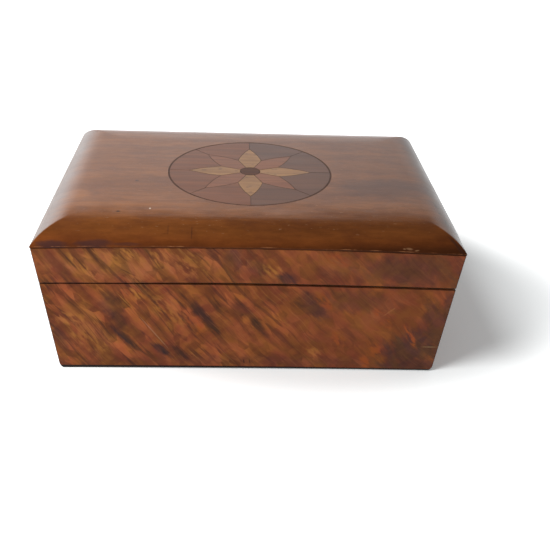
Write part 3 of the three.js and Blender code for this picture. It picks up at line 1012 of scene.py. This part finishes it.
# How meshes are made: two points this near are one, faces that turn less than "flatWithin"
# are one flat, and edges look sharp from "sharpFrom" on. Angles are in degrees.
meshing = {
    "weld": 1e-6,
    "sameLevel": 1e-5,
    "flatWithin": 0.4,
    "sharpFrom": 20,
}


def bowRise(key, x):
    middle, slope, curve = bow[key]
    return middle + slope * x + curve * x * x


def easeBetween(value, low, high):
    share = min(max((value - low) / (high - low), 0), 1)
    return share * share * (3 - 2 * share)


def bend(bm, inLid):
    for vert in bm.verts:
        x, y, z = vert.co
        share = min((z - jointHeight) / (ledgeHeight - jointHeight), 1)
        joint = bowRise("joint", x)
        if inLid:
            joint += bow["gape"] * easeBetween(x, bow["gapeFrom"], bow["gapeFull"])
        if share < 0:
            rise = joint * max(z, 0) / jointHeight
        else:
            rise = joint * (1 - share) + bowRise("ledge", x) * share
        vert.co.z += rise * easeBetween(y, bow["startsAt"], bow["fullAt"])


def cutAt(bm, axis, level):
    normal = Vector((0, 0, 0))
    normal[axis] = 1
    bmesh.ops.bisect_plane(
        bm, geom=bm.verts[:] + bm.edges[:] + bm.faces[:], plane_co=normal * level,
        plane_no=normal, dist=meshing["weld"],
    )


# Cuts a mesh across, so that it can bend between the cuts.
def cutAcross(bm, axis, low, high):
    count = round((high - low) / bow["cutEvery"])
    for i in range(1, count):
        cutAt(bm, axis, low + (high - low) * i / count)


# The lowest edge is rubbed a little round, and its front corners far more. The foot of the front
# stands forward a little, most at its ends. Only the wood near the face moves.
foot = {
    "toe": (0.00045, 0.0017),
    "faceRadius": 0.0004,
    "cornerRadius": 0.0046,
    "depth": 0.0055,
    "cornerFrom": -0.085,
    "cornerFull": -0.103,
    "cuts": (0.0002, 0.0004, 0.001, 0.0018, 0.003, 0.0046),
}


def roundFoot(bm):
    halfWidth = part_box("body_right_veneer")[1].x
    halfDepth = -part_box("body_front_veneer")[0].y
    slope = (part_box("lid_right_veneer")[1].x - halfWidth) / (ledgeHeight - jointHeight)
    added = foot["cornerRadius"] - foot["faceRadius"]
    for vert in bm.verts:
        nearCorner = easeBetween(vert.co.y, foot["cornerFrom"], foot["cornerFull"])
        radii = (foot["faceRadius"] + added * nearCorner, foot["faceRadius"])
        z = vert.co.z
        for axis, half, radius in zip((0, 1), (halfWidth, halfDepth), radii):
            drop = max(radius - max(z, 0), 0)
            inward = radius - math.sqrt(radius ** 2 - drop ** 2)
            face = half - (jointHeight - z) * slope
            depth = face - abs(vert.co[axis])
            share = max(0, 1 - depth / foot["depth"])
            if axis == 1 and vert.co.y < 0:
                middle, end = foot["toe"]
                toe = middle + (end - middle) * (vert.co.x / halfWidth) ** 2
                inward -= toe * (1 - z / jointHeight)
            vert.co[axis] -= math.copysign(1, vert.co[axis]) * inward * share


def addPiece(name, bm, nodeName, finish=None):
    mesh = bpy.data.meshes.new(name)
    bm.to_mesh(mesh)
    bm.free()
    mesh.shade_smooth()
    mesh.set_sharp_from_angle(angle=math.radians(meshing["sharpFrom"]))
    mesh.materials.append(finish or materials[slotOf[nodeName]])
    piece = bpy.data.objects.new(name, mesh)
    scene.collection.objects.link(piece)
    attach(piece, bodyOf[nodeName])
    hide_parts(nodeName)


# A node's own shape with its flat faces whole again.
def nodeShape(nodeName):
    bm = bmesh.new()
    bm.from_mesh(nodes[nodeName].data)
    bmesh.ops.remove_doubles(bm, verts=bm.verts, dist=meshing["weld"])
    bmesh.ops.dissolve_limit(
        bm, angle_limit=math.radians(meshing["flatWithin"]), verts=bm.verts, edges=bm.edges,
        use_dissolve_boundaries=False,
    )
    bmesh.ops.recalc_face_normals(bm, faces=bm.faces)
    return bm


# A face carries 1 in the layer of wear and painted highlight, or of grime and painted shade.
def markLayers(bm):
    return {key: bm.faces.layers.float.new(key) for key in ("wornAndLit", "grimyAndShaded")}


# Rounds the chosen edges and marks their new faces.
def easeEdges(bm, edges, width, markOf):
    layers = markLayers(bm)
    made = bmesh.ops.bevel(
        bm, geom=edges, offset=width, offset_type="OFFSET", segments=eased["segments"],
        profile=eased["profile"], affect="EDGES", clamp_overlap=True,
    )
    for face in made["faces"]:
        face[layers[markOf(face)]] = 1.0


eased = {
    "veneerEdge": 0.00045,
    "boardEdge": 0.0006,
    "leafEdge": 0.00014,
    "inlayEdge": 0.00022,
    "shortestEdge": 0.004,
    "shortestLeafEdge": 0.0015,
    "sharpFrom": 20,
    "leafSharpFrom": 60,
    "facing": 0.9,
    "ledgeZone": 0.002,
    "segments": 2,
    "profile": 0.6,
}
outwards = {
    "front": Vector((0, -1, 0)),
    "right": Vector((1, 0, 0)),
    "back": Vector((0, 1, 0)),
    "left": Vector((-1, 0, 0)),
}


def edgesOfSide(bm, direction):  # sharp edges of the faces that look that way
    found = []
    for edge in bm.edges:
        if not edge.is_manifold or edge.calc_length() < eased["shortestEdge"]:
            continue
        sharp = edge.calc_face_angle() > math.radians(eased["sharpFrom"])
        facing = (face.normal.dot(direction) > eased["facing"] for face in edge.link_faces)
        if sharp and any(facing):
            found.append(edge)
    return found


def markOfWall(face):  # wear and painted highlight along the ledge, grime and painted shade along the other edges
    height = face.calc_center_median().z
    return "wornAndLit" if height > ledgeHeight - eased["ledgeZone"] else "grimyAndShaded"


def addWall(prefix, sideName, kind):
    nodeName = f"{prefix}_{sideName}_{kind}"
    outward = outwards[sideName]
    bm = nodeShape(nodeName)
    if kind == "veneer":
        easeEdges(bm, edgesOfSide(bm, outward), eased["veneerEdge"], markOfWall)
    else:
        easeEdges(bm, edgesOfSide(bm, -outward), eased["boardEdge"], markOfWall)
    if sideName == "front":
        cutAcross(bm, 0, cadLow.x, cadHigh.x)
    elif sideName != "back":
        cutAcross(bm, 1, cadLow.y, bow["startsAt"] + bow["cutEvery"])
    if prefix == "body":
        for height in foot["cuts"]:
            cutAt(bm, 2, height)
        roundFoot(bm)
    bend(bm, prefix == "lid")
    endBoard = kind != "veneer" and sideName in ("left", "right")
    addPiece(nodeName + "Eased", bm, nodeName, endBoardWood if endBoard else None)


for sideName in outwards:
    addWall("body", sideName, "board")
    addWall("body", sideName, "veneer")
    addWall("lid", sideName, "rail")
    addWall("lid", sideName, "veneer")
print("walls eased and bent")


# Top board of the lid: rounded rectangles up the same cushion as the frame's board.
topShape = {
    "edgeCorner": 0.0007,  # radius of the mitre ridges at the edge
    "flatCorner": 0.0024,  # and where they run out at the flat
    "cornerGrowth": 2.2,
    "arris": 0.0004,
    "cushionSteps": 30,
    "cornerSteps": 8,
    "longSteps": 22,
    "shortSteps": 16,
    "flatSteps": 7,
    "shoulderWidth": 0.019,
    "shoulderDrop": 0.00045,
    "bedClearance": 0.00015,
    "undersideInsets": (0.0012, 0.015, 0.03, 0.05),
}


def roundedRing(halfX, halfY, radius, z):
    ring = []
    centres = [(-1, -1), (1, -1), (1, 1), (-1, 1)]
    steps = topShape["cornerSteps"]
    for corner, (signX, signY) in enumerate(centres):
        arc = []
        for i in range(steps + 1):
            turn = math.radians(180 + 90 * corner + 90 * i / steps)
            x = signX * (halfX - radius) + radius * math.cos(turn)
            y = signY * (halfY - radius) + radius * math.sin(turn)
            arc.append(Vector((x, y, z)))
        ring.extend(arc)
        nextX, nextY = centres[(corner + 1) % 4]
        turn = math.radians(180 + 90 * (corner + 1))
        target = Vector((
            nextX * (halfX - radius) + radius * math.cos(turn),
            nextY * (halfY - radius) + radius * math.sin(turn),
            z,
        ))
        between = topShape["longSteps"] if corner % 2 == 0 else topShape["shortSteps"]
        ring.extend(arc[-1].lerp(target, i / between) for i in range(1, between))
    return ring


def topRings():
    low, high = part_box("lid_top_board")
    corners = [vert.co for vert in nodes["lid_top_board"].data.vertices]
    near = meshing["sameLevel"]
    flatX = max(point.x for point in corners if point.z > high.z - near)
    edgeTop = max(point.z for point in corners if point.x > high.x - near)
    inset = high.x - flatX
    steepest = 2 * math.atan2(high.z - edgeTop, inset)
    radius = inset / math.sin(steepest)
    arris, corner = topShape["arris"], topShape["edgeCorner"]
    drop = topShape["shoulderDrop"]
    slope = 2 * drop / topShape["shoulderWidth"] * radius * steepest
    rings = []
    for under in reversed(topShape["undersideInsets"]):
        rings.append((roundedRing(high.x - under, high.y - under, corner + under, low.z), None))
    rings.append((roundedRing(high.x - arris, high.y - arris, corner, low.z), None))
    # The lower arris of the board is darkened: grime and painted shade.
    rings.append((roundedRing(high.x, high.y, corner, low.z + arris), "grimyAndShaded"))
    rings.append((roundedRing(high.x, high.y, corner, edgeTop - arris / 2), None))
    for i in range(topShape["cushionSteps"] + 1):
        share = i / topShape["cushionSteps"]
        turn = steepest * (1 - share)
        away = inset - radius * math.sin(turn)
        easing = (drop + (slope + 2 * drop) * (1 - share)) * share ** 2
        z = high.z - radius * (1 - math.cos(turn)) - easing
        if i == 0:
            away += arris / 2
            z += arris / 4
        soft = corner + (topShape["flatCorner"] - corner) * share ** topShape["cornerGrowth"]
        # The first cushion ring, at the edge, is lightened: wear and painted highlight.
        mark = "wornAndLit" if i == 0 else None
        rings.append((roundedRing(high.x - away, high.y - away, soft, z), mark))
    for i in range(1, topShape["flatSteps"] + 1):
        share = i / topShape["flatSteps"]
        away = inset + topShape["shoulderWidth"] * share
        z = high.z - drop * (1 - share) ** 2
        rings.append((roundedRing(high.x - away, high.y - away, soft, z), None))
    return rings


def addTopBoard():
    bedLow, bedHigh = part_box("inlay_ring")
    bedRadius = (bedHigh.x - bedLow.x) / 2 + topShape["bedClearance"]
    rings = topRings()
    flat = rings[-1][0]
    circle = [Vector((*(point.xy.normalized() * bedRadius), point.z)) for point in flat]
    for i in range(1, topShape["flatSteps"] + 1):
        share = i / topShape["flatSteps"]
        ring = [point.lerp(end, share) for point, end in zip(flat, circle)]
        rings.append((ring, None))
    rings.append(([Vector((*point.xy, bedLow.z)) for point in circle], None))
    bm = bmesh.new()
    layers = markLayers(bm)
    loops = [[bm.verts.new(point) for point in ring] for ring, mark in rings]
    for k in range(1, len(loops)):
        lower, upper, mark = loops[k - 1], loops[k], rings[k][1]
        for i in range(len(lower)):
            j = (i + 1) % len(lower)
            face = bm.faces.new((lower[i], lower[j], upper[j], upper[i]))
            if mark:
                face[layers[mark]] = 1.0
    bm.faces.new(reversed(loops[0]))
    bm.faces.new(loops[-1])
    bend(bm, True)
    addPiece("topBoardSoftened", bm, "lid_top_board")


addTopBoard()
print("top board built")


# Hinge leaves keep their shapes, with their sharp edges taken off, and inlay pieces theirs,
# with the edges of their tops taken off.
def addLeaf(nodeName):
    bm = nodeShape(nodeName)
    edges = [
        edge for edge in bm.edges
        if edge.is_manifold and edge.calc_face_angle() > math.radians(eased["leafSharpFrom"])
        and edge.calc_length() > eased["shortestLeafEdge"]
    ]
    easeEdges(bm, edges, eased["leafEdge"], lambda face: "wornAndLit")
    addPiece(nodeName + "Eased", bm, nodeName)


def addInlayPiece(nodeName):
    bm = nodeShape(nodeName)
    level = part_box(nodeName)[1].z - meshing["sameLevel"]
    edges = [edge for edge in bm.edges if all(vert.co.z > level for vert in edge.verts)]
    easeEdges(bm, edges, eased["inlayEdge"], lambda face: "grimyAndShaded")
    addPiece(nodeName + "Eased", bm, nodeName)


for nodeName in nodes:
    if nodeName.endswith("_leaf"):
        addLeaf(nodeName)
    elif nodeName.startswith("inlay_"):
        addInlayPiece(nodeName)
print("hinges and inlay eased")


# Floor, lamps and world. The key lamp's direction comes from the shadow on the right.
studio = {
    "floorHalf": 4.0,
    "floorGap": 0.0003,
    "floorColour": (0.915, 0.945, 0.95, 1.0),
    "floorRoughness": 0.9,
    "floorLift": 0.12,
    "shadowMiddle": (0.06, 0.015, 0.0),  # the floor whitens away from here
    "shadowReach": (0.217, 0.146, 1.0),
    "whiteFrom": 0.84,
    "whiteAt": 1.4,
    "keyPlace": (-0.40, -0.40, 0.90),
    "keySize": 0.37,
    "keyPower": 7.0,
    "worldLight": 0.335,
    "glossFront": 0.04,  # what polished faces reflect of the front, and below of the back
    "glossMiddle": 0.84,
    "glossSlope": -0.78,
    "glossSides": 0.95,
    "glossLeft": 0.7,
    "leftFrom": (-0.22, -0.5),
    "glossLow": 1.2,
    "glossHigh": 0.3,
    "glossRise": (0.3, 0.52),
    "horizonGlow": 1.4,
    "horizonRise": (0.31, 0.1),
    "horizonMiddle": 0.05,
    "horizonReach": (0.3, 0.1),
    "frontFrom": (-0.05, 0.6),
    "glossTint": (0.97, 0.985, 1.0, 1.0),
}


def makeFloor(values):
    half = values["floorHalf"]
    mesh = bpy.data.meshes.new("floor")
    corners = [(-half, -half, 0), (half, -half, 0), (half, half, 0), (-half, half, 0)]
    mesh.from_pydata(corners, [], [(0, 1, 2, 3)])
    floor = bpy.data.objects.new("floor", mesh)
    floor.location.z = cadLow.z - values["floorGap"]
    scene.collection.objects.link(floor)
    material, tree, sockets = newMaterial("paleFloor")
    sockets["Base Color"].default_value = values["floorColour"]
    sockets["Roughness"].default_value = values["floorRoughness"]
    sockets["Specular IOR Level"].default_value = 0.0
    path = addNode(tree, "LightPath").outputs
    seen = maths(tree, "MAXIMUM", path["Is Camera Ray"], path["Is Glossy Ray"])
    seen = maths(tree, "MAXIMUM", seen, path["Is Transmission Ray"])
    point = addNode(tree, "TexCoord").outputs["Object"]
    point = vectorMaths(tree, "SUBTRACT", point, values["shadowMiddle"])
    point = vectorMaths(tree, "DIVIDE", point, values["shadowReach"])
    away = addNode(tree, "VectorMath", {0: point}, operation="LENGTH").outputs["Value"]
    far = smoothMask(tree, away, values["whiteFrom"], values["whiteAt"])
    lift = spread(tree, far, values["floorLift"], 1.0)
    sockets["Emission Color"].default_value = (1, 1, 1, 1)
    tree.links.new(maths(tree, "MULTIPLY", seen, lift), sockets["Emission Strength"])
    mesh.materials.append(material)


def makeKeyLamp(values):
    data = bpy.data.lights.new("keyLamp", "AREA")
    data.shape = "DISK"
    data.size = values["keySize"]
    data.energy = values["keyPower"]
    lamp = bpy.data.objects.new("keyLamp", data)
    lamp.location = values["keyPlace"]
    lamp.rotation_euler = lamp.location.to_track_quat("Z", "Y").to_euler()
    lamp.visible_glossy = False
    scene.collection.objects.link(lamp)


def makeWorld(values):
    world = bpy.data.worlds.new("paleStudio")
    world.use_nodes = True
    tree = world.node_tree
    tree.nodes.clear()
    path = addNode(tree, "LightPath").outputs
    direction = addNode(tree, "TexCoord").outputs["Generated"]
    parts = addNode(tree, "SeparateXYZ", {0: direction}).outputs
    squared = maths(tree, "MULTIPLY", parts[0], parts[0])
    squared = maths(tree, "MULTIPLY", squared, values["glossSides"])
    sloped = maths(tree, "MULTIPLY_ADD", parts[0], values["glossSlope"], squared)
    behind = maths(tree, "ADD", sloped, values["glossMiddle"])
    leftward = smoothMask(tree, parts[0], *values["leftFrom"])
    behind = maths(tree, "MULTIPLY_ADD", leftward, values["glossLeft"], behind)
    height = spread(tree, parts[2], values["glossLow"], values["glossHigh"], *values["glossRise"])
    behind = maths(tree, "MULTIPLY", behind, height)
    aside = maths(tree, "ABSOLUTE", maths(tree, "SUBTRACT", parts[0], values["horizonMiddle"]))
    straight = smoothMask(tree, aside, *values["horizonReach"])
    glow = maths(tree, "MULTIPLY", smoothMask(tree, parts[2], *values["horizonRise"]), straight)
    glow = maths(tree, "MULTIPLY", glow, values["horizonGlow"])
    behind = maths(tree, "ADD", behind, glow)
    facing = smoothMask(tree, parts[1], *values["frontFrom"])
    gloss = addNode(tree, "Mix", {0: facing, 2: values["glossFront"], 3: behind}).outputs[0]
    seen = maths(tree, "MAXIMUM", path["Is Glossy Ray"], path["Is Transmission Ray"])
    strength = addNode(tree, "Mix", {0: seen, 2: values["worldLight"], 3: gloss}).outputs[0]
    mixed = addNode(tree, "Mix", {0: path["Is Camera Ray"], 2: strength, 3: 1.0}).outputs[0]
    tint = mixColour(tree, seen, (1, 1, 1, 1), values["glossTint"])
    background = addNode(tree, "Background", {"Color": tint, "Strength": mixed})
    output = addNode(tree, "OutputWorld")
    tree.links.new(background.outputs[0], output.inputs["Surface"])
    scene.world = world


makeFloor(studio)
makeKeyLamp(studio)
makeWorld(studio)
print("studio ready")
